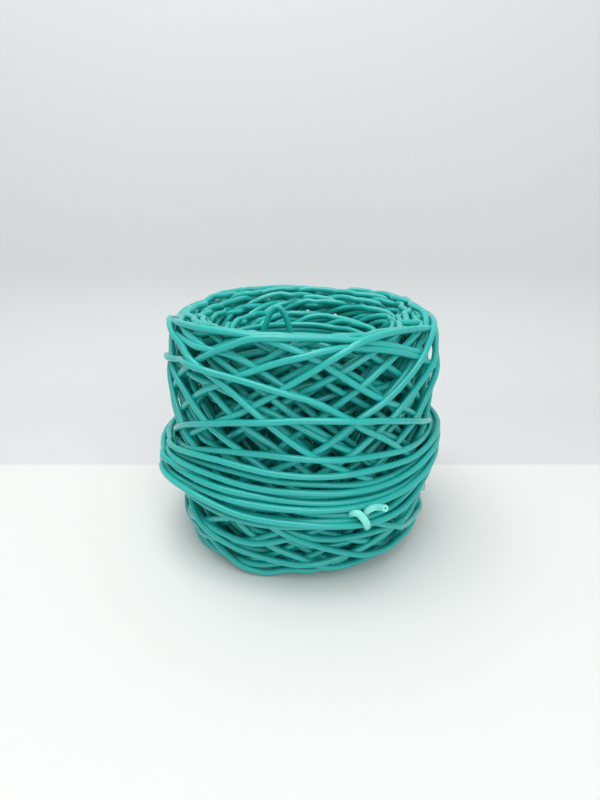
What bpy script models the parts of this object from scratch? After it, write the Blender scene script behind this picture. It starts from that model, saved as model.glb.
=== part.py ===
"""A cross-wound coil of hollow PVC tie tube, bound round its waist with its own last turns.

Metres, +Z up. The coil stands on z = 0 with its axis upright and its front towards -Y. All of it is laid
out round its axis and then set with the middle of its outline on the Z axis, a few millimetres to the side.
Angles run anticlockwise seen from above: 180 is the left side, 270 the front and 360 the right side.

The inner layers are one plain core. The outer layer is wound over it in the order of the real coil: each
point of the tube has its angle and its place up the coil's side, and is lifted until it clears what lies below.
"""

import math

import bpy
import numpy as np
from mathutils import Vector

MM = 0.001

# The tube
tube_diameter = 3.5 * MM
tube_bore = 1.2 * MM
turn_gap = 0.42 * MM  # least gap between one turn of the tube and the next
seat_gap = 0.32 * MM  # least gap between the tube and the wound core
joint_gap = 0.3 * MM  # between the end faces of two named stretches of the tube
slack = 0.1 * MM  # most by which a point of the tube may dip below the line between its neighbours
points_per_turn = 22

# The wound core: the inner layers, which are built up on the mandrel
mandrel_radius = 39.0 * MM
core_radius = 62.0 * MM
core_height = 129.0 * MM
shoulder_radius = 12.0 * MM  # rounding of the shoulder at the top
foot_height = 26.0 * MM  # height over which the foot draws in
foot_inset = 11.0 * MM
mouth_radius = 7.0 * MM  # rounding where the central hole opens at the top

# The open cross winding. A turn climbs to its crest and falls to its low point half a turn on. A crest's
# reach is measured from the top of the core's straight side over the shoulder, a low point's from the floor.
regular_turns = 2
turn_advance = 22.5  # degrees by which each regular turn is set round from the last
first_crest_angle = 120.0
regular_crest_reach = (28.0, 22.0, 30.0, 25.0)  # mm, taken in turn
regular_low_reach = (14.0, 9.0, 19.0, 11.0)  # mm, taken in turn
start_rise = ((0.0, 0.0), (0.0, 3.7), (1.2, 5.2), (4.0, 5.9), (9.0, 4.4))  # (degrees on, mm off the core)

# The last cross turns, as they lie on the coil: angle of the crest, its reach and the next low point's, in mm
last_turns = (
    (217, 15, 27),
    (238, 20, 9),
    (261, 19, 12),
    (286, 14, 21),
    (311, 18, 21),
    (345, 17, 15),
    (380, 12, 15),
    (405, 18, 27),
    (438, 10, 12),
    (465, 15, 27),
    (492, 11, 9),
    (510, 16, 15),
    (558, 17, 12),
    (592, 6, 9),
    (632, -11, 25),
)
binding_entry = (975, 26)  # the turn that leads into the binding: angle, and mm above the binding's middle

# The waist binding: turns wound over each other round the waist
binding_height = 62.0 * MM
binding_tilt = 3.5 * MM  # the right side lies this much above the middle, and the left this much below
lane_gap = 0.44 * MM
# The lane of each turn, counted from the middle: spread out at the front, drawn together at the sides and back.
front_lanes = (-3.6, -2.6, -0.4, 1.6, 3.6, 2.6, 0.6, 0.1, -3.1, -1.5)
drawn_lanes = (-2.0, -1.0, 0.0, 1.0, 2.0, 1.5, 0.5, -0.5, -1.5, -1.0)
lane_change = 0.15  # share of a turn, at the back, over which it moves to its next lane

# The free end, hitched round the three lowest turns: (angle, lane) down over them and up behind them
hitch_down = ((283, -1.5), (287, -1.8), (289.6, -2.4), (291.2, -3.0), (292, -3.7))
hitch_up = ((292, -3.7), (292, -3.1), (292.1, -2.6), (292.3, -2.15))
bend_depth = 0.8  # of the bend under the lowest turn, as a share of a half circle's
tail_way = ((293.3, -1.58, 0.6), (294.9, -1.48, 1.3))  # out between turns: (angle, lane, diameters over them)
tail_end = (301, -1.6, 3.0)  # the middle of the cut end
tail_end_run = 7.0 * MM  # straight stretch behind the cut end
bore_depth = 6.0 * MM
bore_overrun = 1.0 * MM

# The inner end: a loop of tube that stands up in the central hole
loop_width = 16.5 * MM
loop_centre = (-14.0 * MM, -4.0 * MM)
loop_rise = 11.0 * MM  # height of the loop over the core
loop_leg = 24.0 * MM  # straight part of its legs
loop_foot_drop = 44.0 * MM  # from the core's top down to where the legs meet the wall of the hole
loop_foot_angles = (196.0, 252.0)

# How finely each shape is built
facets = {"corner": 5, "core": 60, "loop": 36, "tail": 42}

FRONT = 270.0
BACK = 90.0
least_spacing = tube_diameter + turn_gap
seat = tube_diameter / 2 + seat_gap
lane_pitch = tube_diameter + lane_gap
side_top = core_height - shoulder_radius
shoulder_reach = (shoulder_radius + tube_diameter) * math.pi / 2


# --- The surface that the turns lie on -------------------------------------------------------------


def foot_radius(height):
    """Outer radius of the core up its side, where the foot draws in."""
    drawn = np.clip(1 - height / foot_height, 0, 1)
    return core_radius - foot_inset * drawn**2


def lay_surface(reach):
    """Radius, height and outward direction (radial, upward) of the core's surface at each reach."""
    turned = np.clip((reach - side_top) / shoulder_reach, 0, 1) * math.pi / 2
    past = np.maximum(reach - side_top - shoulder_reach, 0)
    radius = foot_radius(reach) - shoulder_radius * (1 - np.cos(turned)) - past
    height = np.minimum(reach, side_top) + shoulder_radius * np.sin(turned)
    return radius, height, np.cos(turned), np.sin(turned)


def outward(angles, reach):
    """Unit vectors off the core's surface."""
    _, _, out, up = lay_surface(reach)
    turn = np.radians(angles)
    return np.stack([out * np.cos(turn), out * np.sin(turn), up], axis=1)


def placed(angles, reach, offset):
    """Points at these angles and reaches, held off the core's surface by the offset."""
    radius, height, out, up = lay_surface(reach)
    radius = radius + offset * out
    turn = np.radians(angles)
    return np.stack([radius * np.cos(turn), radius * np.sin(turn), height + offset * up], axis=1)


def core_outline():
    """The core's half section as (radius, height), from the top's outer edge round."""
    quarter = np.linspace(0, math.pi / 2, facets["corner"] + 1)
    shoulder = [
        (core_radius - shoulder_radius * (1 - math.sin(a)), side_top + shoulder_radius * math.cos(a))
        for a in quarter
    ]
    foot = [(float(foot_radius(z)), float(z)) for z in np.linspace(foot_height, 0, facets["corner"] + 1)]
    mouth_floor = core_height - mouth_radius
    mouth = [
        (mandrel_radius + mouth_radius * (1 - math.cos(a)), mouth_floor + mouth_radius * math.sin(a))
        for a in quarter
    ]
    return shoulder + foot + [(mandrel_radius, 0.0)] + mouth


# --- The route of the tube -------------------------------------------------------------------------


def smooth(share):
    share = np.clip(share, 0, 1)
    return share * share * (3 - 2 * share)


def cross_anchors():
    """(angle, reach) of every crest and low point of the cross winding, in the order they are wound."""
    crests = [
        (
            first_crest_angle + k * (360 + turn_advance),
            regular_crest_reach[k % len(regular_crest_reach)],
            regular_low_reach[k % len(regular_low_reach)],
        )
        for k in range(regular_turns)
    ]
    turns_before = math.ceil((crests[-1][0] + 180 - last_turns[0][0]) / 360)
    for k, (angle, crest, low) in enumerate(last_turns):
        crests.append((angle + (turns_before + k) * 360, crest, low))
    entry = binding_entry[0] + (turns_before + len(last_turns) - 1) * 360
    following = [angle for angle, _, _ in crests[1:]] + [entry]
    anchors = []
    for (angle, crest, low), next_angle in zip(crests, following):
        anchors += [(angle, side_top + crest * MM), ((angle + next_angle) / 2, low * MM)]
    return anchors + [(entry, binding_height + binding_entry[1] * MM)]


def eased(angles, anchors):
    """The reach at each angle, easing from one anchor to the next."""
    at = np.array([a for a, _ in anchors])
    reach = np.array([r for _, r in anchors])
    i = np.clip(np.searchsorted(at, angles) - 1, 0, len(at) - 2)
    share = np.clip((angles - at[i]) / (at[i + 1] - at[i]), 0, 1)
    return reach[i] + (reach[i + 1] - reach[i]) * (1 - np.cos(np.pi * share)) / 2


def lane_height(angles, lane):
    return binding_height + binding_tilt * np.cos(np.radians(angles)) + lane * lane_pitch


def binding_reach(angles, start):
    """Height of the waist binding. A turn lies in its own lane round the front and changes lane at the back."""
    front, drawn = np.array(front_lanes), np.array(drawn_lanes)
    turn = (angles - start) / 360
    whole = np.clip(np.floor(turn).astype(int), 0, len(front) - 1)
    following = np.minimum(whole + 1, len(front) - 1)
    change = smooth((turn - whole - 1 + lane_change) / lane_change)
    behind = drawn[whole] + (drawn[following] - drawn[whole]) * change
    facing = smooth((np.cos(np.radians(angles - FRONT)) - 0.05) / 0.75)
    return lane_height(angles, behind + (front[whole] - behind) * facing)


class Route:
    """The laid tube: angle, reach, place in the winding order and, where it is held, its offset from the core."""

    def __init__(self):
        step = 360 / points_per_turn
        anchors = cross_anchors()
        entry = anchors[-1][0]
        start = entry + (BACK - entry) % 360
        anchors.append((start, float(lane_height(BACK, drawn_lanes[0]))))
        rise = np.array([anchors[0][0] + degrees for degrees, _ in start_rise])
        first = step * math.ceil((rise[-1] + step / 3) / step)
        last = start + 360 * (len(front_lanes) - 1) + hitch_down[0][0] - BACK
        wound = np.concatenate([rise, np.arange(first, last - step / 3, step)])
        wound_reach = np.where(wound < start, eased(wound, anchors), binding_reach(wound, start))
        down, up = np.array(hitch_down, float), np.array(hitch_up, float)
        self.angles = np.concatenate([wound, down[:, 0], up[:, 0]])
        hitch_reach = [lane_height(part[:, 0], part[:, 1]) for part in (down, up)]
        self.reach = np.concatenate([wound_reach, *hitch_reach])
        self.binding_from = int(np.searchsorted(wound, entry))
        self.hitch_from = len(wound)
        self.parting = len(wound) + len(down) - 1  # the tube isn't laid straight on from this point to the next
        self.order = np.arange(len(self.angles), dtype=float)
        self.order[self.parting + 1 :] = self.binding_from - 0.5
        self.held = np.full(len(self.angles), np.nan)
        self.held[: len(rise)] = [seat_gap + height * MM for _, height in start_rise]


# --- Laying each turn on the turns below it --------------------------------------------------------


def nearest_on_segments(a0, a1, b0, b1):
    """Least distance between the segments of each pair, and how far along the second segment it lies."""
    u, v, w = a1 - a0, b1 - b0, a0 - b0
    uu, uv, vv = (u * u).sum(1), (u * v).sum(1), (v * v).sum(1)
    uw, vw = (u * w).sum(1), (v * w).sum(1)
    s = np.clip((uv * vw - vv * uw) / np.maximum(uu * vv - uv * uv, 1e-18), 0, 1)
    t = np.clip((uv * s + vw) / vv, 0, 1)
    s = np.clip((uv * t - uw) / uu, 0, 1)
    return np.linalg.norm(w + s[:, None] * u - t[:, None] * v, axis=1), t


def close_pairs(points, within, parting=None):
    """Pairs of segments that may come within that distance and aren't neighbours along the tube."""
    middle = (points[1:] + points[:-1]) / 2
    length = np.linalg.norm(points[1:] - points[:-1], axis=1)
    far = 1.0 if parting is not None else 0.0
    ends = np.cumsum(length + np.where(np.arange(len(length)) == parting, far, 0))
    first, second = [], []
    for j in range(1, len(middle)):
        if j == parting:
            continue
        apart = np.linalg.norm(middle[:j] - middle[j], axis=1)
        near = apart < (length[:j] + length[j]) / 2 + within
        near &= ends[j] - length[j] - ends[:j] > 3 * tube_diameter
        if parting is not None and parting < j:
            near[parting] = False
        found = np.nonzero(near)[0]
        first += found.tolist()
        second += [j] * len(found)
    return np.array(first, int), np.array(second, int)


def clearance_to_core(points):
    """Distance of points from the core's half section, negative inside it."""
    outline = np.array(core_outline())
    edge = np.roll(outline, -1, axis=0) - outline
    flat = np.stack([np.hypot(points[:, 0], points[:, 1]), points[:, 2]], axis=1)
    offset = flat[:, None] - outline[None]
    share = np.clip((offset * edge).sum(2) / (edge * edge).sum(1), 0, 1)
    nearest = np.linalg.norm(offset - share[..., None] * edge, axis=2).min(axis=1)
    spans = (outline[:, 1] > flat[:, 1:]) != ((outline + edge)[:, 1] > flat[:, 1:])
    rise = np.where(edge[:, 1] == 0, 1, edge[:, 1])
    crossing = outline[:, 0] + (flat[:, 1:] - outline[:, 1]) / rise * edge[:, 0]
    inside = (spans & (flat[:, :1] < crossing)).sum(axis=1) % 2 == 1
    return np.where(inside, -nearest, nearest)


def settled(route):
    """Points of the laid tube: clear of the core, over all that was wound before and taut between rests."""
    count = len(route.angles)
    held = ~np.isnan(route.held)
    offset = np.where(held, route.held, seat)
    normal = outward(route.angles, route.reach)
    start = placed(route.angles, route.reach, offset)
    first, second = close_pairs(start, 6 * least_spacing, route.parting)
    swap = route.order[first] > route.order[second]
    under, over = np.where(swap, second, first), np.where(swap, first, second)
    ends = [0, route.parting, route.parting + 1, count - 1]
    inner = np.array([i for i in range(count) if i not in ends and not held[i]])
    laid = np.array([i for i in range(count - 1) if i != route.parting and not held[i]])
    along = np.linspace(0, 1, 5)[:, None, None]
    leg = slice(route.parting + 1, count)
    on_leg = (under > route.parting) & (over < route.hitch_from)
    for _ in range(1500):
        points = placed(route.angles, route.reach, offset)
        lift = np.zeros(count)
        chord = (points[inner - 1] + points[inner + 1]) / 2 - points[inner]
        lift[inner] = (chord * normal[inner]).sum(axis=1) - slack
        samples = points[laid] * (1 - along) + points[laid + 1] * along
        sunk = (seat - clearance_to_core(samples.reshape(-1, 3))).reshape(len(along), -1).max(axis=0)
        np.maximum.at(lift, laid, sunk)
        np.maximum.at(lift, laid + 1, sunk)
        gap, share = nearest_on_segments(points[under], points[under + 1], points[over], points[over + 1])
        short = least_spacing - gap
        np.maximum.at(lift, over, np.where(share < 0.75, short, 0))
        np.maximum.at(lift, over + 1, np.where(share > 0.25, short, 0))
        room = gap[on_leg].min() - least_spacing - seat_gap
        lift[leg] = max(lift[leg].max(), room)  # the leg behind the binding lies up against it, straight
        lift[held] = 0
        if lift.max() < 1e-6:
            break
        offset += np.where(lift > 0, lift * 0.6 + 2e-6, 0)
    return points, offset


def least_gap(points):
    """Least gap between the walls of two stretches of one tube."""
    first, second = close_pairs(points, 6 * least_spacing)
    gap, _ = nearest_on_segments(points[first], points[first + 1], points[second], points[second + 1])
    return gap.min() - tube_diameter


# --- The routes of the two ends --------------------------------------------------------------------


def smooth_path(controls, count):
    """Points at an even spacing on a smooth curve through the control points."""
    controls = np.array(controls, float)
    whole = np.concatenate([[2 * controls[0] - controls[1]], controls, [2 * controls[-1] - controls[-2]]])
    knots = np.concatenate([[0], np.cumsum(np.linalg.norm(np.diff(whole, axis=0), axis=1) ** 0.5)])
    fine = []
    for i in range(1, len(whole) - 2):
        t = np.linspace(knots[i], knots[i + 1], 24, endpoint=False)[:, None]
        k, p = knots[i - 1 : i + 3], whole[i - 1 : i + 3]
        a = [((k[j + 1] - t) * p[j] + (t - k[j]) * p[j + 1]) / (k[j + 1] - k[j]) for j in range(3)]
        b = [((k[j + 2] - t) * a[j] + (t - k[j]) * a[j + 1]) / (k[j + 2] - k[j]) for j in range(2)]
        fine.append(((k[2] - t) * b[0] + (t - k[1]) * b[1]) / (k[2] - k[1]))
    fine = np.concatenate(fine + [controls[-1:]])
    along = np.concatenate([[0], np.cumsum(np.linalg.norm(np.diff(fine, axis=0), axis=1))])
    even = np.linspace(0, along[-1], count)
    return np.stack([np.interp(even, along, fine[:, axis]) for axis in range(3)], axis=1)


def free_end_route(route, points, offset):
    """From the middle of the binding's last stretch, over the lowest turns, back up behind them and out."""
    last = route.hitch_from
    way = list(points[last : route.parting + 1])
    outer, inner = points[route.parting], points[route.parting + 1]
    centre, arm = (outer + inner) / 2, (outer - inner) / 2
    for a in np.radians([30, 60, 90, 120, 150]):
        drop = bend_depth * np.linalg.norm(arm) * math.sin(a)
        way.append(centre + arm * math.cos(a) - np.array([0, 0, drop]))
    way += list(points[route.parting + 1 :])
    out = np.array([*tail_way, tail_end], float)
    height = lane_height(out[:, 0], out[:, 1])
    exits = placed(out[:, 0], height, offset[-1] + out[:, 2] * tube_diameter)
    run = (exits[-1] - exits[-2]) / np.linalg.norm(exits[-1] - exits[-2])
    return way + list(exits[:-1]) + [exits[-1] - run * tail_end_run, exits[-1]], run


def centre_loop_route():
    """Out of the hole's wall, up one leg, over the top and down the other leg back to the wall."""
    x, y = loop_centre
    half = loop_width / 2
    top = core_height + loop_rise - tube_diameter / 2 - half
    bend = [(x - half * math.cos(a), y, top + half * math.sin(a)) for a in np.linspace(0, math.pi, 9)]
    legs = []
    for side, angle in zip((-1, 1), loop_foot_angles):
        outward_way = np.array([math.cos(math.radians(angle)), math.sin(math.radians(angle)), 0])
        foot = outward_way * (mandrel_radius - seat_gap)
        foot[2] = core_height - loop_foot_drop
        straight = foot - outward_way * 2 * tube_diameter
        legs.append([foot, straight, (x + side * half, y, top - loop_leg)])
    left, right = legs
    return smooth_path([*left, *bend, *reversed(right)], facets["loop"])


# --- Making the solids -----------------------------------------------------------------------------


def clear_scene():
    for old in list(bpy.data.objects):
        bpy.data.objects.remove(old, do_unlink=True)


def new_collection(name):
    collection = bpy.data.collections.new(name)
    bpy.context.scene.collection.children.link(collection)
    return collection


def plastic(name, colour, roughness):
    material = bpy.data.materials.new(name)
    material.use_nodes = True
    shader = material.node_tree.nodes["Principled BSDF"]
    shader.inputs["Base Color"].default_value = (*colour, 1)
    shader.inputs["Roughness"].default_value = roughness
    shader.inputs["Metallic"].default_value = 0.0
    return material


def add_object(name, data, collection, material):
    made = bpy.data.objects.new(name, data)
    made.data.materials.append(material)
    collection.objects.link(made)
    return made


def add_core(collection, material):
    """The turned core: its half section swept round the axis by a Screw modifier."""
    outline = core_outline()
    count = len(outline)
    mesh = bpy.data.meshes.new("wound_core")
    mesh.from_pydata([(r, 0, z) for r, z in outline], [(i, (i + 1) % count) for i in range(count)], [])
    core = add_object("wound_core", mesh, collection, material)
    screw = core.modifiers.new("turned", "SCREW")
    screw.steps = facets["core"]
    screw.render_steps = facets["core"]
    screw.use_merge_vertices = True
    screw.merge_threshold = 0.00005
    screw.use_smooth_shade = True
    return core


def add_tube(name, points, collection, material, resolution=1):
    """A tube along points, as a poly curve with a round bevel."""
    curve = bpy.data.curves.new(name, "CURVE")
    curve.dimensions = "3D"
    spline = curve.splines.new("POLY")
    spline.points.add(len(points) - 1)
    for point, place in zip(spline.points, points):
        point.co = (*place, 1)
    curve.bevel_depth = tube_diameter / 2
    curve.bevel_resolution = resolution
    curve.use_fill_caps = True
    return add_object(name, curve, collection, material)


def as_mesh(tube):
    """The curve object's mesh, welded at its caps, in the curve's place under the same name."""
    name = tube.name
    bpy.context.view_layer.update()
    mesh = bpy.data.meshes.new_from_object(tube)
    tube.name = f"{name}_curve"
    solid = bpy.data.objects.new(name, mesh)
    tube.users_collection[0].objects.link(solid)
    bpy.data.objects.remove(tube, do_unlink=True)
    weld = solid.modifiers.new("caps welded", "WELD")
    weld.merge_threshold = 0.00001
    return solid


def bore_end(solid, end, direction, collection):
    """Cut the tube's bore into its free end."""
    depth = bore_depth + bore_overrun
    middle = Vector(end) + Vector(direction) * (bore_overrun - depth / 2)
    bpy.ops.mesh.primitive_cylinder_add(vertices=10, radius=tube_bore / 2, depth=depth, location=middle)
    cutter = bpy.context.object
    cutter.name = "bore_cutter"
    cutter.rotation_euler = Vector(direction).to_track_quat("Z", "Y").to_euler()
    for holder in list(cutter.users_collection):
        holder.objects.unlink(cutter)
    collection.objects.link(cutter)
    cutter.hide_render = True
    cutter.display_type = "WIRE"
    cut = solid.modifiers.new("bore", "BOOLEAN")
    cut.operation = "DIFFERENCE"
    cut.solver = "EXACT"
    cut.object = cutter


def parted(before, after):
    """The two end points that leave the joint's gap in the middle of a straight stretch."""
    middle = (before + after) / 2
    half = (after - before) / np.linalg.norm(after - before) * joint_gap / 2
    return middle - half, middle + half


def main():
    clear_scene()
    collection = new_collection("cross_wound_tube_coil")
    cutters = new_collection("cutters")
    tube_green = plastic("tube_green", (0.03, 0.42, 0.34), 0.35)
    core_green = plastic("core_green", (0.01, 0.22, 0.19), 0.5)

    add_core(collection, core_green)

    route = Route()
    points, offset = settled(route)
    entry, hitch = route.binding_from, route.hitch_from
    winding_end, binding_start = parted(points[entry], points[entry + 1])
    binding_end, tail_start = parted(points[hitch - 1], points[hitch])
    tail_controls, tail_run = free_end_route(route, points, offset)
    tail = smooth_path([tail_start, *tail_controls], facets["tail"])
    whole = np.concatenate([points[:hitch], tail])
    print(f"outer tube: least gap to itself {least_gap(whole) / MM:.2f} mm over {len(whole)} points")

    add_tube("cross_winding", [*points[: entry + 1], winding_end], collection, tube_green)
    add_tube("waist_binding", [binding_start, *points[entry + 1 : hitch], binding_end], collection, tube_green)
    free_end = as_mesh(add_tube("free_end", tail, collection, tube_green, resolution=2))
    bore_end(free_end, tail[-1], tail_run, cutters)

    loop = centre_loop_route()
    print(f"inner loop: least gap to itself {least_gap(loop) / MM:.2f} mm")
    add_tube("centre_loop", loop, collection, tube_green, resolution=2)

    middle = (whole.min(axis=0) + whole.max(axis=0)) / 2
    print(f"the coil's axis stands at x {-middle[0] / MM:.2f}, y {-middle[1] / MM:.2f} mm")
    for made in [*collection.objects, *cutters.objects]:
        made.location -= Vector((middle[0], middle[1], 0))


main()
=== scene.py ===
import math

import bmesh
import bpy
import numpy as np
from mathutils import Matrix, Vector


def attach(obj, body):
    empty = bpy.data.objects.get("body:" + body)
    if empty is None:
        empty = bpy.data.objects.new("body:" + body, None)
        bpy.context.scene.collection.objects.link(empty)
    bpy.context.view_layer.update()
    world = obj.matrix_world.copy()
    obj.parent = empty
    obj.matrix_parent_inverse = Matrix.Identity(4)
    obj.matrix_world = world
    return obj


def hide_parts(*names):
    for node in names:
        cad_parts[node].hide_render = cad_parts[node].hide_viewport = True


# A cross-wound coil of hollow green tie tube, laid turn by turn on the turns below it and then dressed.
# Routes are worked out in mm round the coil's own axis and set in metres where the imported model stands.

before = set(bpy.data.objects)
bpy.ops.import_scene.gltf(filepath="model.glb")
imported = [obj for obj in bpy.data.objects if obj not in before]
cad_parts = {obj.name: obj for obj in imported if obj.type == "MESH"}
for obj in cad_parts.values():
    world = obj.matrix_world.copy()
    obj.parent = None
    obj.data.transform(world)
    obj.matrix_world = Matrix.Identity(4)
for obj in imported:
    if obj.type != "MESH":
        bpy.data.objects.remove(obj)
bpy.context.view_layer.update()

mm = 0.001
deg = math.radians  # angles are written in degrees
fullTurn = 2 * math.pi
axisShift = np.array([1.77, -3.76, 0.0])  # the coil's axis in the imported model, mm


camera = {
    "place": (-0.8, -300.0, 206.0),  # mm, from the coil's axis
    "pitchDown": 22.5,
    "focalPixels": 520.0,
    "frameHeight": 800.0,
    "sensor": 36.0,
    "nearest": 0.01,
}


def addCamera():
    data = bpy.data.cameras.new("photo_camera")
    data.sensor_width = camera["sensor"]
    data.lens = camera["focalPixels"] / camera["frameHeight"] * camera["sensor"]
    data.clip_start = camera["nearest"]
    cam = bpy.data.objects.new("photo_camera", data)
    cam.location = (np.array(camera["place"]) + axisShift) * mm
    cam.rotation_euler = (deg(90 - camera["pitchDown"]), 0, 0)
    bpy.context.scene.collection.objects.link(cam)
    bpy.context.scene.camera = cam


addCamera()
print("camera set")


tube = {
    "diameter": 3.5,
    "bore": 1.2,
}

winding = {
    "mandrelRadius": 39.0,
    "oval": 0.948,  # depth of the soft coil as a share of its width
    "samplesPerTurn": 240,
    "middleHeights": (50, 60, 70, 80, 90),  # where the coil's thickness is measured
    "measuredEvery": 6,  # degrees
    "turnsOver": (-24, 25, 4),  # degrees round a crest or low point, where its own thickness is measured
    "sideHeights": (25, 115),
    "advance": ((0, 8.6), (50, 8.6), (56, 21.5), (90, 22.5)),  # degrees from one crest to the next, by radius
    "advanceSpread": 0.22,
    "crestSpread": 2.0,
    "sideRadius": 69.3,  # where a tube would rest on the middle when the traced last turns begin
    "proud": 0.8,  # how much thicker than the middle the coil may be where a turn turns back
    "drawBack": (34, 3),  # how far such a place may draw back from the rim, and in what steps
    "slide": 2.2,  # how far a turn may slide off the one below it
    "bendRadius": ((0, 12.0), (56, 12.0), (62, 17.0), (90, 17.0)),  # of the tube over a bump, by radius
    "span": 8,  # samples each way over which it bridges a hollow
    "gap": -0.6,  # soft tube is pressed together a little where it crosses
    "smoothing": 4,
    "lowest": 1.9,
    "highest": 139.6,
    "rimSlack": 2.0,
    "rimsFrom": 60,  # radius from which the turns shape the rims, and not the mouth
    "mouthAbove": 60,
    "flatness": ((0, 0.6), (46, 0.5), (56, 0.0), (90, 0.0)),  # how level a turn is at its crest, by radius
    "seed": 13,
    # radius of the package, and the crest and low point of a turn laid at it
    "radii": (40.5, 44, 50, 54, 60, 65, 68, 71, 74, 78, 82),
    "crests": (121.0, 126.5, 130.5, 133.5, 137.0, 139.6, 138.6, 136.8, 134.5, 131, 128),
    "lows": (12.0, 8.0, 4.5, 3.2, 2.1, 2.3, 3.2, 5.0, 7.5, 11.5, 14),
}

# The first turns lie nearly level on the wall of the hole
levelTurns = {
    "count": 13,
    "from": 82.0,
    "to": 123.0,
    "sway": 2.6,
    "swayShare": (0.2, 1.0),
    "lean": 1.3,  # how far the side that it sways to may move on in a turn
    "slide": 0.8,
    "bendRadius": 12.0,
    "span": 6,
    "gap": -0.4,
    "smoothing": 2,
    "highest": 126.0,
}

# The outside of the coil so far is kept as a radius for each angle and height
grid = {
    "columns": 1440,
    "cell": 0.4,
    "lowest": -6.0,
    "highest": 150.0,
    "margin": 1.12,  # by which a point's cells are looked up further out, so that none is missed
    "finer": 3,  # places between one sample and the next where the laid tube is added
}

# How a turn settles on what is below it
settling = {
    "bumpReach": 14,  # samples from a bump over which it holds the tube up
    "chords": (44, 34, 26, 20, 15, 11, 8, 6, 4, 3, 2, 1),  # samples each way that a taut tube spans
    "rounds": 6,
    "finestRounds": 30,
    "slideRounds": 6,
    "slideFeel": 0.5,  # how far above and below itself a turn feels the slope, mm
    "slideShare": 0.5,
    "slideMost": 0.8,
    "slideWidth": 25,
    "carriedOn": 50,  # samples of the turn before that shape the start of the next
    "carriedFade": 12.0,  # samples over which a step in height between them dies away
    "joinWidth": 7,
}

radius = tube["diameter"] / 2
column = fullTurn / grid["columns"]
rows = np.arange(grid["lowest"], grid["highest"], grid["cell"])
heights = np.full((len(rows), grid["columns"]), winding["mandrelRadius"])
step = fullTurn / winding["samplesPerTurn"]


# Cells within reach of a point, as steps up and round
def footprint(atRadius, reach):
    nz, nt = math.ceil(reach / grid["cell"]), math.ceil(reach / (atRadius * column))
    j, i = np.meshgrid(np.arange(-nt, nt + 1), np.arange(-nz, nz + 1))
    near = (j * atRadius * column) ** 2 + (i * grid["cell"]) ** 2 <= (reach * grid["margin"]) ** 2
    return i[near], j[near]


# The same cells for each of many points, and how far up and round from the point each one lies
def cellsRound(theta, z, atRadius, reach):
    i, j = footprint(atRadius, reach)
    row, col = (z - rows[0]) / grid["cell"], theta / column
    r0, c0 = np.round(row).astype(int), np.round(col).astype(int)
    ii, jj = r0[:, None] + i, c0[:, None] + j
    dz = (ii - row[:, None]) * grid["cell"]
    dt = (jj - col[:, None]) * column
    return np.clip(ii, 0, len(rows) - 1), jj % grid["columns"], dz, dt


# Radius at which a ball as thick as the tube comes to rest on what has been laid
def restingRadius(theta, z, atRadius, gap):
    reach = radius + gap
    ii, jj, dz, dt = cellsRound(theta, z, atRadius, reach)
    below = heights[ii, jj]
    room = reach**2 - dz**2 - (below * np.sin(dt)) ** 2
    return np.where(room > 0, below * np.cos(dt) + np.sqrt(np.maximum(room, 0)), 0).max(axis=1)


# Adds a laid stretch to the outside of the coil
def stamp(theta, z, r):
    fine = np.linspace(0, len(theta) - 1, (len(theta) - 1) * grid["finer"] + 1)
    at = np.arange(len(theta))
    theta, z, r = (np.interp(fine, at, v) for v in (theta, z, r))
    ii, jj, dz, dt = cellsRound(theta, z, r.mean(), radius)
    room = radius**2 - dz**2 - (r[:, None] * np.sin(dt)) ** 2
    top = r[:, None] * np.cos(dt) + np.sqrt(np.maximum(room, 0))
    hit = room > 0
    np.maximum.at(heights, (ii[hit], jj[hit]), top[hit])


# A stiff tube goes over a bump in a long curve instead of a kink
def bridged(rest, bendRadius):
    reach = settling["bumpReach"]
    padded = np.pad(rest, reach, mode="edge")
    over = rest.copy()
    for k in range(-reach, reach + 1):
        other = padded[reach + k : reach + k + len(rest)]
        gone = k * step * other
        over = np.maximum(over, other - gone**2 / 2 * (1 / bendRadius - 1 / other))
    return over


# A taut tube runs straight between the points that hold it off the coil
def tightened(rest, before, bendRadius, span):
    kept = len(before)
    w = 1 / np.concatenate([before, bridged(rest, bendRadius)])
    chords = tuple(m for m in settling["chords"] if m <= span)
    for m in chords * settling["rounds"] + (1,) * settling["finestRounds"]:
        if len(w) <= 2 * m:
            continue
        chord = (w[: -2 * m] + w[2 * m :]) / (2 * math.cos(m * step))
        new = np.minimum(w[m:-m], chord)
        w[m:-m] = np.where(np.arange(m, len(w) - m) < kept, w[m:-m], new)
    return 1 / w[kept:]


# A running mean over so many samples
def softened(z, width):
    window = np.hanning(width + 2)[1:-1]
    return np.convolve(np.pad(z, width // 2, mode="edge"), window / window.sum(), "valid")


# A turn laid on a slope slides down it
def slidOff(theta, z, atRadius, kind):
    start = z.copy()
    feel, farthest = settling["slideFeel"], settling["slideMost"]
    for _ in range(settling["slideRounds"]):
        above, below = (restingRadius(theta, z + way, atRadius, kind["gap"]) for way in (feel, -feel))
        push = softened(below - above, settling["slideWidth"])
        moved = z + settling["slideShare"] * np.clip(push, -farthest, farthest) - start
        z = start + np.clip(moved, -kind["slide"], kind["slide"])
    return np.clip(z, winding["lowest"], kind["highest"])


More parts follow.
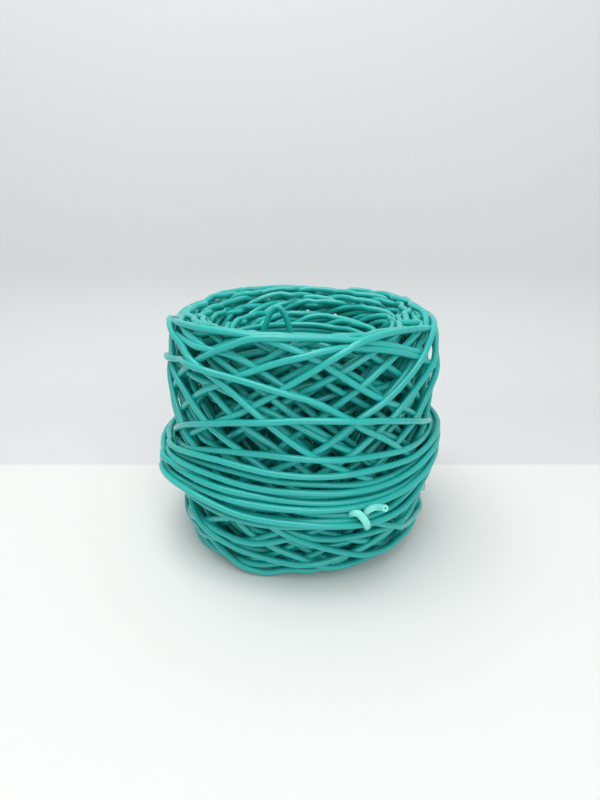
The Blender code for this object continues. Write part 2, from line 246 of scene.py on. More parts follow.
# No turn lies further in than the rounded rims and the funnel of the mouth let it
def rimRadius(z, thick):
    radii, crests, lows = (np.array(winding[k]) for k in ("radii", "crests", "lows"))
    outer = radii > winding["rimsFrom"]
    top = np.interp(z, crests[outer][::-1], radii[outer][::-1])
    foot = np.interp(-z, -lows[outer][::-1], radii[outer][::-1])
    rim = np.minimum(top, foot)
    rising = slice(0, int(np.argmax(crests)) + 1)
    mouth = np.minimum(np.interp(z, crests[rising], radii[rising]), thick)
    mouth = np.where(z > crests[0], mouth, 0)
    inMouth = (thick < winding["rimsFrom"]) & (z > winding["mouthAbove"])
    return np.where(inMouth, mouth, np.where(rim < thick, rim, 0)) - winding["rimSlack"]


# The tube's route so far
class Lay:
    def __init__(self):
        self.theta, self.z, self.r = np.empty(0), np.empty(0), np.empty(0)
        self.lastWanted = 0.0

    def add(self, theta, z, atRadius, kind):
        wanted = z
        z = slidOff(theta, z, atRadius, kind)
        if len(self.z):
            # no step where one turn goes over into the next
            short = self.z[-1] + (wanted[0] - self.lastWanted) - z[0]
            z = z + short * np.exp(-np.arange(len(z)) / settling["carriedFade"])
        self.lastWanted = wanted[-1]
        rest = np.maximum(restingRadius(theta, z, atRadius, kind["gap"]), rimRadius(z, atRadius))
        end = slice(-settling["carriedOn"], None)
        if kind.get("joined"):
            # the end of the turn before rises to meet the first bump of this one
            raised = bridged(np.concatenate([self.r[end], rest]), kind["bendRadius"])[: -len(rest)]
            self.r[end] = softened(raised, settling["joinWidth"])
            stamp(self.theta[end], self.z[end], self.r[end])
        r = tightened(rest, self.r[end], kind["bendRadius"], kind["span"])
        if len(self.r):
            half = kind["smoothing"]
            window = np.hanning(2 * half + 3)[1:-1]
            joined = np.concatenate([self.r[-half:], r, np.full(half, r[-1])])
            r = np.convolve(joined, window / window.sum(), "valid")
        stamp(theta, z, r)
        self.theta = np.concatenate([self.theta, theta])
        self.z = np.concatenate([self.z, z])
        self.r = np.concatenate([self.r, r])
        return r


# From crest to low point or back; a flat turn stays level for longer at both
def eased(theta, fromPoint, toPoint, flat):
    share = np.clip((theta - fromPoint[0]) / (toPoint[0] - fromPoint[0]), 0, 1)
    swing = np.cos(np.pi * share)
    swing = (1 - flat) * swing + flat * swing * (1.5 - 0.5 * swing**2)
    return fromPoint[1] + (toPoint[1] - fromPoint[1]) * (0.5 - 0.5 * swing)


lay = Lay()
rng = np.random.default_rng(winding["seed"])


def restingMean(theta, z, atRadius):
    return restingRadius(theta % fullTurn, np.full(len(theta), float(z)), atRadius, winding["gap"]).mean()


# The furthest place for a crest or low point where the coil isn't yet thicker than at its middle
def turningPoint(theta, places, thick):
    around = theta + np.radians(np.arange(*winding["turnsOver"]))
    proud = [restingMean(around, place, thick) - thick for place in places]
    for place, over in zip(places, proud):
        if over < winding["proud"]:
            return float(place)
    return float(places[int(np.argmin(proud))])


# Turns that run from the upper rim to the lower one and back, each crest a little further round
def windRegularTurns(firstCrestAt):
    allRound = np.arange(0, fullTurn, deg(winding["measuredEvery"]))
    drawnBack = np.arange(0, *winding["drawBack"])
    packed = winding["mandrelRadius"] + radius
    crest = (deg(firstCrestAt), winding["crests"][0])
    thick, turns = packed, 0
    while thick < winding["sideRadius"]:
        highest, lowest = (float(np.interp(thick, winding["radii"], winding[k])) for k in ("crests", "lows"))
        spread = abs(rng.normal(0, winding["crestSpread"], 2))
        uneven = 1 + rng.uniform(-1, 1) * winding["advanceSpread"]
        at = crest[0] + fullTurn + deg(np.interp(thick, *zip(*winding["advance"])) * uneven)
        halfway = (crest[0] + at) / 2
        following = (at, turningPoint(at, highest - spread[0] - drawnBack, thick))
        foot = (halfway, turningPoint(halfway, lowest + spread[1] + drawnBack, thick))
        theta = np.arange(math.ceil(crest[0] / step), math.ceil(at / step)) * step
        flat = float(np.interp(thick, *zip(*winding["flatness"])))
        z = np.where(theta < halfway, eased(theta, crest, foot, flat), eased(theta, foot, following, flat))
        stiff = float(np.interp(thick, *zip(*winding["bendRadius"])))
        packed = lay.add(theta, z, packed, dict(winding, bendRadius=stiff)).mean()
        thick = np.mean([restingMean(allRound, height, packed) for height in winding["middleHeights"]])
        crest = following
        turns += 1
    return crest, turns, packed


def windLevelTurns():
    count = levelTurns["count"]
    theta = np.arange(0, count * winding["samplesPerTurn"] + 1) * step
    turn = theta / fullTurn
    at = np.arange(count + 2)
    sway = np.interp(turn, at, levelTurns["sway"] * rng.uniform(*levelTurns["swayShare"], count + 2))
    lean = np.interp(turn, at, np.cumsum(rng.uniform(-levelTurns["lean"], levelTurns["lean"], count + 2)))
    rising = levelTurns["from"] + (levelTurns["to"] - levelTurns["from"]) * turn / count
    z = rising + sway * np.cos(theta + lean)
    for k in range(count):
        part = slice(k * winding["samplesPerTurn"], (k + 1) * winding["samplesPerTurn"])
        lay.add(theta[part], z[part], winding["mandrelRadius"] + radius, levelTurns)
    return float(count * 360)


crest, turns, packed = windRegularTurns(windLevelTurns())
print("level turns", levelTurns["count"], "regular turns", turns, "out to", round(float(packed), 1), "mm")


# The last turns that cross the whole side, as they lie in the photograph
lastTurns = {
    "soonest": 190,  # degrees at least from the last regular crest to the first of these turns
    "betweenFrom": 270,  # degrees from which one more low point comes between the two
    "betweenHeight": 18.0,
    "softening": 21,
    "slide": 0.35,
    "bendRadius": 14.0,
    "span": 5,
    "gap": -0.9,
    "smoothing": 5,
    "joined": True,
    "highest": 140.4,
    # angle and height of the points that each turn passes, the angle counted on from turn to turn
    "points": (
        ((207, 132.5), (245, 130), (261, 117), (283, 103), (408, 27)),
        (
            (560, 138), (586, 140), (597, 140), (608, 140), (619, 138), (627, 135.5), (637, 129.5),
            (641, 126), (650, 117), (663, 106.5), (682, 92.5), (790, 9),
        ),
        (
            (950, 127.5), (964, 137), (970, 140), (976, 140), (987, 140), (999, 139), (1011, 138.5),
            (1023, 135), (1044, 126), (1065, 108.5), (1173, 12),
        ),
        ((1366, 135), (1559, 21)),
        (
            (1683, 99.5), (1695, 108), (1699, 114), (1707, 119.5), (1718, 128.5), (1729, 137), (1739, 139),
            (1758, 138), (1779, 134), (1948, 21),
        ),
        (
            (2074, 82.5), (2086, 94), (2092, 102.5), (2098, 103.5), (2107, 110), (2118, 117), (2127, 126),
            (2136, 132.5), (2148, 136), (2342, 15),
        ),
        ((2540, 133), (2732, 15)),
        ((2925, 137), (3122, 27)),
        ((3318, 131), (3512, 12)),
        ((3705, 136), (3899, 27)),
        ((4092, 130), (4281, 9)),
        ((4470, 135), (4674, 15)),
        ((4878, 136.5), (4885, 133.5), (4909, 124), (4925, 113.5), (4937, 99.5), (4951, 84), (5090, 12)),
        (
            (5234, 116.5), (5269, 123.5), (5285, 120.5), (5300, 116), (5311, 112), (5321, 107), (5330, 96),
            (5337, 92), (5348, 81.5), (5354, 74), (5460, 9),
        ),
        (
            (5595, 71), (5623, 89.5), (5645, 97.5), (5667, 101.5), (5688, 101), (5706, 95), (5745, 77.5),
            (5840, 25),
        ),
    ),
}

# The turns that bind the waist
waist = {
    "middle": 62.0,
    "tilt": 3.5,  # the right side lies this much higher than the middle
    "back": 90,  # angle of the back, where one length of the tube ends and the next begins
    "from": 200,
    "softening": 31,
    "slide": 0.1,
    "bendRadius": 50.0,
    "span": 20,
    "gap": -0.15,
    "smoothing": 9,
    "highest": 130.0,
    "sink": 1.6,  # how far the tight turns press into the soft winding
    # how far each turn lies above or below the middle at the sides and back
    "drawn": (5.5, 0.0, -3.7, -7.2, 3.7, -5.4, 1.8, -1.8, 5.4, -3.6, -7.0),
    # where each changes lane, as degrees past the back
    "crossings": (-22, 18, -8, 24, 4, -18, 12, -26, 20, -2, 10),
    # on the way to the back and from it: angle, spread of the turns, share of the crossing's degrees
    "toBack": ((343, 1.35, 0), (360, 1.2, 0), (385, 1.7, 0.5), (412, 2.6, 1)),
    "fromBack": ((128, 2.6, 1), (155, 1.6, 0.5), (182, 1.1, 0)),
    "lastWay": ((130, 62.0), (170, 61.5), (195, 61.8), (215, 62.0)),
    # angle and height round the front
    "front": (
        (
            (195, 63.5), (218, 71.5), (235, 79), (250, 81.5), (267, 82.5), (282, 79.5), (300, 78), (316, 75),
            (345, 68),
        ),
        ((219, 56), (247, 58.5), (270, 59), (295, 55.5), (318, 54)),
        ((219, 46.5), (247, 50.5), (270, 50.5), (295, 51.5), (318, 50)),
        ((218, 40.5), (231, 40.5), (255, 42), (272, 42), (284, 42.5), (294, 39.5), (307, 40), (322, 38.5)),
        ((215, 65), (238, 69), (250, 67.5), (268, 66.5), (279, 64.5), (302, 61.5), (315, 62.5), (325, 60.5)),
        ((221, 49), (234, 49), (247, 47.5), (258, 46), (278, 47.5), (289, 44.5), (297, 43), (307, 43.5)),
        ((219, 65), (239, 65), (251, 62), (268, 63.5), (288, 60), (300, 60), (312, 60)),
        ((218, 59), (240, 60.5), (252, 59), (268, 57), (290, 54.5), (301, 54.5), (320, 55)),
        ((217, 71), (232, 75.5), (251, 74), (268, 72), (289, 71), (301, 71), (326, 67)),
        ((219, 53.5), (235, 55.5), (252, 55), (268, 54.5), (289, 52), (304, 53.5), (315, 55)),
        ((224, 54.5), (239, 49), (256, 47), (268, 47.5), (283, 45.5), (297, 41.5), (309, 41), (320, 42.5)),
    ),
}

# The end of the tube: tucked under two turns, over the lowest ones, back up behind them and out
hitch = {
    "laidAfter": 3,  # waist turns that lie under the tucked stretch
    "topUntil": 211,  # degrees at which the last turn leaves the top of the bundle
    # angle and height behind the later turns
    "tucked": ((226, 60), (244, 56), (264.3, 53.3), (269.9, 51.6), (276.6, 49.7), (282.4, 47.9), (286.3, 47)),
    "tuckedSpan": 15,
    "tuckedEnds": 2,  # samples left off at both of its ends, where the route bends over into it
    "rise": ((287.5, 48.2, 0.23), (287.8, 50, 0.5), (288.5, 51, 0.68)),  # angle, height, share of the way out
    "over": ((289.4, 51.1), (290.5, 49.6), (291.4, 47.6), (292.1, 45.7)),
    "overLift": (-1.9, -1.1, -0.2, 0),  # from the top of the turns that it goes over
    "gap": 0.05,
    "bend": 0.45,  # depth of the bend below them, as a share of its half width
    "bendAngles": (35, 65, 90, 115, 145),
    "innerLeg": ((296.4, 36.3), (296, 38.7), (295.4, 41.5), (294.8, 43.9)),
    # angle, height and distance from the axis
    "out": (
        (293.7, 47.1, 82.5), (292.9, 51.2, 86.3), (293.4, 53.9, 88.6), (294.4, 55.3, 90.2), (295.1, 56.6, 93),
        (295.3, 58.3, 97),
    ),
    "every": 3,  # samples of the laid route from one route point to the next
    "points": 380,
    "sides": 20,
    "flat": 1.15,  # width of the tube where it is drawn tight over the others
    "fade": 9,  # points over which it comes back to round and green
    "boreDepth": 6.0,
}


# Smooth monotone curve through knots
def through(knots, at):
    x, y = np.array(knots, float).T
    h = np.diff(x)
    slope = np.diff(y) / h
    m = np.zeros(len(x))
    inner = slope[:-1] * slope[1:] > 0
    w1, w2 = 2 * h[1:] + h[:-1], h[1:] + 2 * h[:-1]
    with np.errstate(divide="ignore", invalid="ignore"):
        m[1:-1] = np.where(inner, (w1 + w2) / (w1 / slope[:-1] + w2 / slope[1:]), 0)
    i = np.clip(np.searchsorted(x, at) - 1, 0, len(x) - 2)
    t = np.clip((at - x[i]) / h[i], 0, 1)
    a, b = 2 * t**3 - 3 * t**2 + 1, t**3 - 2 * t**2 + t
    return a * y[i] + b * h[i] * m[i] + (1 - a) * y[i + 1] + (t**3 - t**2) * h[i] * m[i + 1]


def drawnHeight(angle, offset):
    return waist["middle"] + waist["tilt"] * math.cos(deg(angle)) + offset


# Knots of the whole last stretch, from the last regular crest to the end of the waist turns
def lastKnots(crest):
    def drawnWay(turn, way, crossing):
        passed = []
        for drawnAt, spread, share in way:
            angle = drawnAt + waist["crossings"][crossing] * share
            passed.append((base + 360 * turn + angle, drawnHeight(angle, waist["drawn"][turn] * spread)))
        return passed

    crestAngle = math.degrees(crest[0])
    firstTraced = lastTurns["points"][0][0][0]
    wholeTurns = math.ceil((crestAngle + lastTurns["soonest"] - firstTraced) / 360)
    knots = [(crestAngle, crest[1])]
    between = firstTraced + 360 * wholeTurns - crestAngle
    if between > lastTurns["betweenFrom"]:
        knots.append((crestAngle + between / 2, lastTurns["betweenHeight"]))
    knots += [(angle + 360 * wholeTurns, height) for turn in lastTurns["points"] for angle, height in turn]
    base = 360 * (wholeTurns + len(lastTurns["points"]) + 1)
    for turn, front in enumerate(waist["front"]):
        if turn:
            knots += drawnWay(turn, waist["fromBack"], turn - 1)
        knots += [(base + 360 * turn + angle, height) for angle, height in front]
        knots += drawnWay(turn, waist["toBack"], turn)
    knots += [(base + 360 * len(waist["front"]) + angle, height) for angle, height in waist["lastWay"]]
    return knots, base


fineSteps = 24  # from one point of a drawn path to the next


# Smooth curve through the points, as so many points evenly apart
def smoothPath(controls, count):
    controls = np.array(controls, float)
    whole = np.concatenate([[2 * controls[0] - controls[1]], controls, [2 * controls[-1] - controls[-2]]])
    knots = np.concatenate([[0], np.cumsum(np.linalg.norm(np.diff(whole, axis=0), axis=1) ** 0.5)])
    fine = []
    for i in range(1, len(whole) - 2):
        t = np.linspace(knots[i], knots[i + 1], fineSteps, endpoint=False)[:, None]
        k, p = knots[i - 1 : i + 3], whole[i - 1 : i + 3]
        a = [((k[j + 1] - t) * p[j] + (t - k[j]) * p[j + 1]) / (k[j + 1] - k[j]) for j in range(3)]
        b = [((k[j + 2] - t) * a[j] + (t - k[j]) * a[j + 1]) / (k[j + 2] - k[j]) for j in range(2)]
        fine.append(((k[2] - t) * b[0] + (t - k[1]) * b[1]) / (k[2] - k[1]))
    fine = np.concatenate(fine + [controls[-1:]])
    along = np.concatenate([[0], np.cumsum(np.linalg.norm(np.diff(fine, axis=0), axis=1))])
    even = np.linspace(0, along[-1], count)
    return np.stack([np.interp(even, along, fine[:, axis]) for axis in range(3)], axis=1)


knots, waistBase = lastKnots(crest)
waistEnd = waistBase + 360 * len(waist["front"])
regularCount = len(lay.theta)
perTurn = winding["samplesPerTurn"]
firstSample = math.ceil(crest[0] / step)
waistSample = math.ceil(deg(waistBase + waist["from"]) / step)
lastSample = math.floor(deg(waistEnd + hitch["topUntil"]) / step)
theta = np.arange(firstSample, lastSample) * step
rawZ = through(knots, np.degrees(theta))
tracedZ, boundZ = (softened(rawZ, kind["softening"]) for kind in (lastTurns, waist))
plannedZ = np.where(theta < waistSample * step, tracedZ, boundZ)


# The stretch tucked under the later turns: laid before them, used when the end of the tube gets there
def layTucked():
    angles = [angle for angle, _ in hitch["tucked"]]
    at = np.arange(math.ceil(deg(angles[0]) / step), math.floor(deg(angles[-1]) / step) + 1) * step
    height = through(hitch["tucked"], np.degrees(at))
    rest = restingRadius(at, height, packed, waist["gap"])
    r = tightened(rest, np.empty(0), waist["bendRadius"], hitch["tuckedSpan"])
    stamp(at, height, r)
    return at, height, r


# The leg that comes back up behind them, all of it at one distance from the axis
def layInnerLeg():
    angles, z = np.array(hitch["innerLeg"], float).T
    legRadius = float(restingRadius(np.radians(angles), z, packed, waist["gap"]).max())
    at = np.arange(len(angles))
    fine = np.linspace(0, at[-1], fineSteps)
    stamp(np.radians(np.interp(fine, at, angles)), np.interp(fine, at, z), np.full(len(fine), legRadius))
    return legRadius


# The radius that nearly all of the side stays within, for the messages printed here
def outermost(percent=97):
    low, high = winding["sideHeights"]
    side = (rows > low) & (rows < high)
    return round(float(np.percentile(heights[side], percent)), 1)


turnStarts = [*range(firstSample, waistSample, perTurn), *range(waistSample, lastSample, perTurn), lastSample]
for start, end in zip(turnStarts, turnStarts[1:]):
    kind = lastTurns if start < waistSample else waist
    if start == waistSample:
        print("last turns laid, outermost at the side", outermost(), "mm")
        heights -= waist["sink"]
    if start == waistSample + hitch["laidAfter"] * perTurn:
        legRadius = layInnerLeg()
        tucked = layTucked()
    part = slice(start - firstSample, end - firstSample)
    packed = lay.add(theta[part], plannedZ[part], packed, kind).mean()
crossCount = regularCount + math.ceil(deg(waistBase + waist["back"]) / step) - firstSample
tiedFrom = regularCount + math.ceil(deg(waistEnd + waist["back"]) / step) - firstSample
print("waist laid, outermost at the side", outermost(), "mm")


# From angle, height and radius to x, y and z
def routed(theta, z, r):
    return np.stack([r * np.cos(theta), r * np.sin(theta), z], axis=1)


def tiedEndPath():
    def at(angle, z, r):
        return np.array([r * math.cos(deg(angle)), r * math.sin(deg(angle)), z])

    def onTop(angle, z):
        return float(restingRadius(np.array([deg(angle)]), np.array([float(z)]), packed, hitch["gap"])[0])

    every, under = hitch["every"], tucked[2][-1]
    way = list(routed(lay.theta[tiedFrom:], lay.z[tiedFrom:], lay.r[tiedFrom:])[::every])
    way += list(routed(*tucked)[hitch["tuckedEnds"] : -hitch["tuckedEnds"] : every])
    over = max(onTop(angle, z) for angle, z in hitch["over"])
    way += [at(angle, z, (1 - share) * under + share * over) for angle, z, share in hitch["rise"]]
    way += [at(angle, z, over + lift) for (angle, z), lift in zip(hitch["over"], hitch["overLift"])]
    low, back = hitch["over"][-1], hitch["innerLeg"][0]
    middle, arm = (over + legRadius) / 2, (over - legRadius) / 2
    for turned in hitch["bendAngles"]:
        share = turned / 180
        angle, z = (low[i] * (1 - share) + back[i] * share for i in (0, 1))
        drop = hitch["bend"] * arm * math.sin(deg(turned))
        way.append(at(angle, z - drop, middle + arm * math.cos(deg(turned))))
    way += [at(angle, z, legRadius) for angle, z in hitch["innerLeg"]]
    way += [at(*place) for place in hitch["out"]]
    path = smoothPath(way, hitch["points"])
    marks = [(*hitch["over"][0], over), (*low, over), hitch["out"][1]]
    return path, [int(np.argmin(np.linalg.norm(path - at(*mark), axis=1))) for mark in marks]


# The inner end of the tube, a loop that stands in the hole
innerEnd = {
    "centre": (-14.0, -2.0),
    "top": 142.6,  # of the tube's upper side
    # steps to the side, back and down from its highest point
    "loop": (
        (-8.6, 0.5, -36.0), (-9.0, 0.0, -26.0), (-8.4, 0.0, -16.5), (-6.3, 0.0, -9.0), (-3.6, 0.0, -3.3),
        (0.0, 0.0, 0.0), (3.2, 0.3, -2.9), (5.6, 0.6, -8.2), (7.6, 0.6, -16.0), (8.2, 0.6, -26.0),
        (7.8, 0.5, -36.0),
    ),
    "footDrop": 44.0,
    "footAngles": (196.0, 252.0),
    "coreTop": 129.0,
    "wall": 38.7,
    "footReach": 7.0,
    "points": 90,
}


def innerEndPath():
    top = np.array([*innerEnd["centre"], innerEnd["top"] - radius])
    loop = [top + np.array(place) for place in innerEnd["loop"]]
    feet = []
    for angle in innerEnd["footAngles"]:
        way = np.array([math.cos(deg(angle)), math.sin(deg(angle)), 0])
        foot = way * innerEnd["wall"]
        foot[2] = innerEnd["coreTop"] - innerEnd["footDrop"]
        feet.append([foot, foot - way * innerEnd["footReach"]])
    left, right = feet
    return smoothPath([*left, *loop, *reversed(right)], innerEnd["points"])


def socket(tree, name, kind, inOut="INPUT"):
    return tree.interface.new_socket(name=name, in_out=inOut, socket_type=kind)


# Round tube swept along a curve; it keeps how far along and how far round it each point lies
def tubeTree():
    tree = bpy.data.node_groups.new("tube_along_path", "GeometryNodeTree")
    tree.is_modifier = True
    socket(tree, "Path", "NodeSocketGeometry")
    socket(tree, "Tube radius", "NodeSocketFloat")
    socket(tree, "Sides", "NodeSocketInt")
    socket(tree, "Material", "NodeSocketMaterial")
    socket(tree, "Tube", "NodeSocketGeometry", "OUTPUT")
    nodes, links = tree.nodes, tree.links
    inputs, output = nodes.new("NodeGroupInput"), nodes.new("NodeGroupOutput")

    def store(name, geometry, value, kind="FLOAT"):
        node = nodes.new("GeometryNodeStoreNamedAttribute")
        node.data_type, node.domain = kind, "POINT"
        node.inputs["Name"].default_value = name
        links.new(geometry, node.inputs["Geometry"])
        links.new(value, node.inputs["Value"])
        return node.outputs["Geometry"]

    along = nodes.new("GeometryNodeSplineParameter")
    path = store("along", inputs.outputs["Path"], along.outputs["Length"])
    ring = nodes.new("GeometryNodeCurvePrimitiveCircle")
    links.new(inputs.outputs["Sides"], ring.inputs["Resolution"])
    links.new(inputs.outputs["Tube radius"], ring.inputs["Radius"])
    outwards = nodes.new("ShaderNodeVectorMath")
    outwards.operation = "NORMALIZE"
    links.new(nodes.new("GeometryNodeInputPosition").outputs["Position"], outwards.inputs[0])
    profile = store("around", ring.outputs["Curve"], outwards.outputs["Vector"], "FLOAT_VECTOR")
    sweep = nodes.new("GeometryNodeCurveToMesh")
    links.new(path, sweep.inputs["Curve"])
    links.new(profile, sweep.inputs["Profile Curve"])
    sweep.inputs["Fill Caps"].default_value = True
    smooth = nodes.new("GeometryNodeSetShadeSmooth")
    realize = nodes.new("GeometryNodeRealizeInstances")
    paint = nodes.new("GeometryNodeSetMaterial")
    links.new(sweep.outputs["Mesh"], smooth.inputs["Geometry"])
    links.new(smooth.outputs["Geometry"], realize.inputs["Geometry"])
    links.new(realize.outputs["Geometry"], paint.inputs["Geometry"])
    links.new(inputs.outputs["Material"], paint.inputs["Material"])
    links.new(paint.outputs["Geometry"], output.inputs["Tube"])
    return tree


tubeNodes = tubeTree()


def inMetres(points):
    return (np.asarray(points) * (1, winding["oval"], 1) + axisShift) * mm


def makeTube(name, points, sides, material):
    data = bpy.data.curves.new(name, "CURVE")
    data.dimensions = "3D"
    data.twist_mode = "MINIMUM"
    spline = data.splines.new("POLY")
    spline.points.add(len(points) - 1)
    placed = inMetres(points)
    spline.points.foreach_set("co", np.hstack([placed, np.ones((len(placed), 1))]).ravel())
    curve = bpy.data.objects.new(name + "_path", data)
    bpy.context.scene.collection.objects.link(curve)
    swept = curve.modifiers.new("tube", "NODES")
    swept.node_group = tubeNodes
    values = {"Tube radius": radius * mm, "Sides": sides, "Material": material}
    for item in tubeNodes.interface.items_tree:
        if item.in_out == "INPUT" and item.name in values:
            swept[item.identifier] = values[item.name]
    graph = bpy.context.evaluated_depsgraph_get()
    evaluated = curve.evaluated_get(graph)
    mesh = bpy.data.meshes.new_from_object(evaluated, preserve_all_data_layers=True, depsgraph=graph)
    mesh.name = name
    bpy.data.objects.remove(curve, do_unlink=True)
    piece = bpy.data.objects.new(name, mesh)
    bpy.context.scene.collection.objects.link(piece)
    return piece


plastic = {
    "green": (0.016, 0.450, 0.405),
    "deep": (0.011, 0.405, 0.362),
    "bright": (0.024, 0.490, 0.445),
    "pale": (0.26, 0.84, 0.74),  # where the tube is stretched and bent sharply
    "shadeStops": (0.25, 0.5, 0.8),
    "shadesPerMetre": 7.0,
    "roughness": 0.22,
    "handled": (-0.05, 0.08),  # how much smoother the clean wall is, and how much duller the handled one
    "markRange": (0.35, 0.7),
    "marksPerMetre": 130.0,
    "ior": 1.53,
    "noiseDetail": 2.0,
    "dieLines": 0.05,
    "dieLineDepth": 0.0001,
    "dieLineScale": (6.0, 6.0, 16.0),
}


def greenPlastic(name):
    material = bpy.data.materials.new(name)
    material.use_nodes = True
    nodes, links = material.node_tree.nodes, material.node_tree.links
    shader = nodes["Principled BSDF"]
    shader.inputs["IOR"].default_value = plastic["ior"]

    def attribute(name, output):
        node = nodes.new("ShaderNodeAttribute")
        node.attribute_name = name
        return node.outputs[output]

    def scaled(vector, scale):
        node = nodes.new("ShaderNodeVectorMath")
        node.operation = "MULTIPLY"
        node.inputs[1].default_value = scale
        links.new(vector, node.inputs[0])
        return node.outputs["Vector"]

    def noise(vector):
        node = nodes.new("ShaderNodeTexNoise")
        node.inputs["Scale"].default_value = 1.0
        node.inputs["Detail"].default_value = plastic["noiseDetail"]
        links.new(vector, node.inputs["Vector"])
        return node.outputs["Fac"]

    def ranged(value, low, high, toLow, toHigh):
        node = nodes.new("ShaderNodeMapRange")
        for key, number in (("From Min", low), ("From Max", high), ("To Min", toLow), ("To Max", toHigh)):
            node.inputs[key].default_value = number
        links.new(value, node.inputs["Value"])
        return node.outputs["Result"]

    # place on the tube's wall, x and y round it and z along it
    onTube = nodes.new("ShaderNodeCombineXYZ")
    parts = nodes.new("ShaderNodeSeparateXYZ")
    links.new(attribute("around", "Vector"), parts.inputs["Vector"])
    links.new(parts.outputs["X"], onTube.inputs["X"])
    links.new(parts.outputs["Y"], onTube.inputs["Y"])
    links.new(attribute("along", "Fac"), onTube.inputs["Z"])
    wall = onTube.outputs["Vector"]

    # broad change of shade along the tube, and the pale stretch at the knot
    ramp = nodes.new("ShaderNodeValToRGB")
    stops = ramp.color_ramp.elements
    deepAt, greenAt, brightAt = plastic["shadeStops"]
    stops[0].position, stops[1].position = deepAt, brightAt
    stops[0].color, stops[1].color = (*plastic["deep"], 1), (*plastic["bright"], 1)
    stops.new(greenAt).color = (*plastic["green"], 1)
    links.new(noise(scaled(wall, (0.0, 0.0, plastic["shadesPerMetre"]))), ramp.inputs["Fac"])
    blend = nodes.new("ShaderNodeMix")
    blend.data_type = "RGBA"
    blend.inputs["B"].default_value = (*plastic["pale"], 1)
    links.new(attribute("pale", "Fac"), blend.inputs["Factor"])
    links.new(ramp.outputs["Color"], blend.inputs["A"])
    links.new(blend.outputs["Result"], shader.inputs["Base Color"])

    # handling marks, and fine lines left by the die
    place = nodes.new("ShaderNodeTexCoord").outputs["Object"]
    marks = noise(scaled(place, (plastic["marksPerMetre"],) * 3))
    smooth, dull = (plastic["roughness"] + change for change in plastic["handled"])
    links.new(ranged(marks, *plastic["markRange"], smooth, dull), shader.inputs["Roughness"])
    bump = nodes.new("ShaderNodeBump")
    bump.inputs["Strength"].default_value = plastic["dieLines"]
    bump.inputs["Distance"].default_value = plastic["dieLineDepth"]
    links.new(noise(scaled(wall, plastic["dieLineScale"])), bump.inputs["Height"])
    links.new(bump.outputs["Normal"], shader.inputs["Normal"])
    return material


green = greenPlastic("green_pvc")


# The laid tube is shown in four lengths and the tied end, each from where the one before ends
lengths = {
    "holeTurns": 14,  # the level ones and one more
    "outerTurns": 40,  # regular turns that go with the traced ones
}


def routePoints(first, last, every):
    index = np.unique(np.append(np.arange(first, last, every), last))
    return routed(lay.theta[index], lay.z[index], lay.r[index])


def lengthOf(points):
    return float(np.linalg.norm(np.diff(points, axis=0), axis=1).sum()) * mm


def addCord(name, points, sides, replaced, finish=None):
    piece = makeTube(name, points, sides, green)
    if finish:
        finish(piece)
    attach(piece, "root")
    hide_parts(replaced)
    print(name, "made,", round(lengthOf(points), 2), "m long")


innerFrom, outerFrom = lengths["holeTurns"] * perTurn, regularCount - lengths["outerTurns"] * perTurn
addCord("inner_end", innerEndPath(), sides=16, replaced="centre_loop")
addCord("hole_winding", routePoints(0, innerFrom, every=3), sides=12, replaced="wound_core")
addCord("inner_winding", routePoints(innerFrom, outerFrom, every=4), sides=10, replaced="wound_core")
addCord("outer_winding", routePoints(outerFrom, crossCount, every=2), sides=12, replaced="cross_winding")
addCord("waist_winding", routePoints(crossCount, tiedFrom, every=2), sides=16, replaced="waist_binding")
tiedPath, tiedMarks = tiedEndPath()


# The tube is drawn flat and pale over the turns, and its cut end shows the bore
def finishTiedEnd(piece):
    count, sides = len(tiedPath), hitch["sides"]
    corners = np.array([v.co for v in piece.data.vertices]).reshape(count, sides, 3)
    middle = inMetres(tiedPath)
    tangent = np.gradient(middle, axis=0)
    tangent /= np.linalg.norm(tangent, axis=1, keepdims=True)
    across = np.cross(tangent, tiedPath * (1, 1, 0))
    across /= np.linalg.norm(across, axis=1, keepdims=True)
    off = np.cross(across, tangent)
    start, low, out = tiedMarks
    index = np.arange(count)
    rise = np.clip((index - start + hitch["fade"]) / hitch["fade"], 0, 1)
    fall = np.clip((low + hitch["fade"] - index) / hitch["fade"], 0, 1)
    drawn = rise * fall
    drawn = drawn * drawn * (3 - 2 * drawn)
    offset = corners - middle[:, None]
    for way, size in ((across, hitch["flat"]), (off, 1 / hitch["flat"])):
        reach = (offset * way[:, None]).sum(axis=2)[..., None] * way[:, None]
        offset = offset + reach * ((size - 1) * drawn)[:, None, None]
    piece.data.vertices.foreach_set("co", (middle[:, None] + offset).ravel())
    pale = np.maximum(drawn, np.clip((index - out + hitch["fade"]) / hitch["fade"], 0, 1) * (index > low))
    layer = piece.data.attributes.new("pale", "FLOAT", "POINT")
    layer.data.foreach_set("value", np.repeat(pale, sides))

    mesh = bmesh.new()
    mesh.from_mesh(piece.data)
    mesh.verts.ensure_lookup_table()
    last = {mesh.verts[i] for i in range((count - 1) * sides, count * sides)}
    cut = next(face for face in mesh.faces if set(face.verts) == last)
    bmesh.ops.inset_individual(mesh, faces=[cut], thickness=(tube["diameter"] - tube["bore"]) / 2 * mm)
    bore = bmesh.ops.extrude_face_region(mesh, geom=[cut])
    bmesh.ops.delete(mesh, geom=[cut], context="FACES_ONLY")
    inner = [v for v in bore["geom"] if isinstance(v, bmesh.types.BMVert)]
    bmesh.ops.translate(mesh, verts=inner, vec=Vector(-tangent[-1] * hitch["boreDepth"] * mm))
    mesh.to_mesh(piece.data)
    mesh.free()


addCord(
    "tied_end", tiedPath, sides=hitch["sides"], replaced="free_end", finish=finishTiedEnd,
)


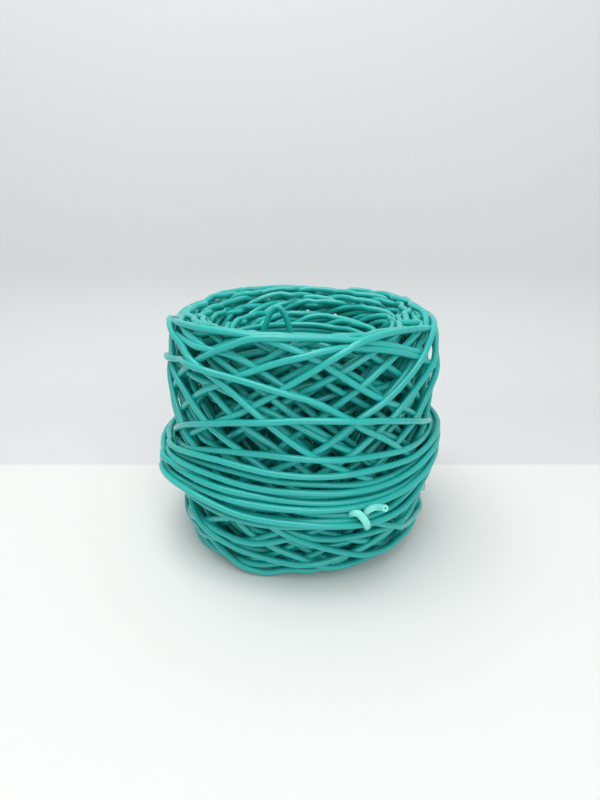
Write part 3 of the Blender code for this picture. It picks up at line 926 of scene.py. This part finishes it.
studio = {
    "floor": (0.80, 0.80, 0.78),
    "behind": (0.69, 0.695, 0.695),
    "floorEnds": 0.058,  # behind this the floor has the wall's grey
    "edgeWidth": 0.002,
    "floorFrom": -0.9,
    "wallAt": 0.30,
    "wallTop": 1.1,
    "halfWidth": 1.3,
    "sweep": 0.12,  # radius between the floor and the wall
    "sweepSteps": 12,
    "roughness": 0.7,
    "daylight": (0.93, 0.96, 1.0),
    "ambient": 0.62,
    "lightsAim": (0, 0, 0.06),
}

lights = {
    "overhead": {
        "place": (-0.12, -0.12, 0.95),
        "size": (0.8, 0.5),
        "power": 5.2,
        "colour": (1.0, 0.99, 0.97),
    },
    "front_fill": {
        "place": (0.35, -0.95, 0.75),
        "size": (0.7, 0.5),
        "power": 3.0,
        "colour": (0.97, 0.99, 1.0),
    },
}


def addBackdrop():
    sweep, sweepFrom = studio["sweep"], studio["wallAt"] - studio["sweep"]
    profile = [(studio["floorFrom"], 0.0), (sweepFrom, 0.0)]
    for angle in np.linspace(0, math.pi / 2, studio["sweepSteps"] + 1)[1:]:
        profile.append((sweepFrom + sweep * math.sin(angle), sweep * (1 - math.cos(angle))))
    profile.append((studio["wallAt"], studio["wallTop"]))
    mesh = bpy.data.meshes.new("backdrop")
    corners = [(x, y, z) for y, z in profile for x in (-studio["halfWidth"], studio["halfWidth"])]
    mesh.from_pydata(corners, [], [(2 * i, 2 * i + 1, 2 * i + 3, 2 * i + 2) for i in range(len(profile) - 1)])
    mesh.polygons.foreach_set("use_smooth", [True] * len(mesh.polygons))
    drop = bpy.data.objects.new("backdrop", mesh)
    bpy.context.scene.collection.objects.link(drop)
    material = bpy.data.materials.new("backdrop_paper")
    material.use_nodes = True
    nodes, links = material.node_tree.nodes, material.node_tree.links
    shader = nodes["Principled BSDF"]
    shader.inputs["Roughness"].default_value = studio["roughness"]
    place = nodes.new("ShaderNodeSeparateXYZ")
    links.new(nodes.new("ShaderNodeTexCoord").outputs["Object"], place.inputs["Vector"])
    edge = nodes.new("ShaderNodeMapRange")
    edge.inputs["From Min"].default_value = studio["floorEnds"]
    edge.inputs["From Max"].default_value = studio["floorEnds"] + studio["edgeWidth"]
    links.new(place.outputs["Y"], edge.inputs["Value"])
    tone = nodes.new("ShaderNodeMix")
    tone.data_type = "RGBA"
    tone.inputs["A"].default_value = (*studio["floor"], 1)
    tone.inputs["B"].default_value = (*studio["behind"], 1)
    links.new(edge.outputs["Result"], tone.inputs["Factor"])
    links.new(tone.outputs["Result"], shader.inputs["Base Color"])
    mesh.materials.append(material)


def addLight(name, place, size, power, colour):
    data = bpy.data.lights.new(name, "AREA")
    data.shape = "RECTANGLE"
    data.size, data.size_y = size
    data.energy = power
    data.color = colour
    light = bpy.data.objects.new(name, data)
    light.location = place
    light.rotation_euler = (Vector(studio["lightsAim"]) - Vector(place)).to_track_quat("-Z", "Y").to_euler()
    bpy.context.scene.collection.objects.link(light)


addBackdrop()
for name, values in lights.items():
    addLight(name, **values)
world = bpy.data.worlds.new("studio")
bpy.context.scene.world = world
world.use_nodes = True
background = world.node_tree.nodes["Background"]
background.inputs["Color"].default_value = (*studio["daylight"], 1)
background.inputs["Strength"].default_value = studio["ambient"]
bpy.context.scene.view_settings.view_transform = "Standard"
print("stage and lights set")
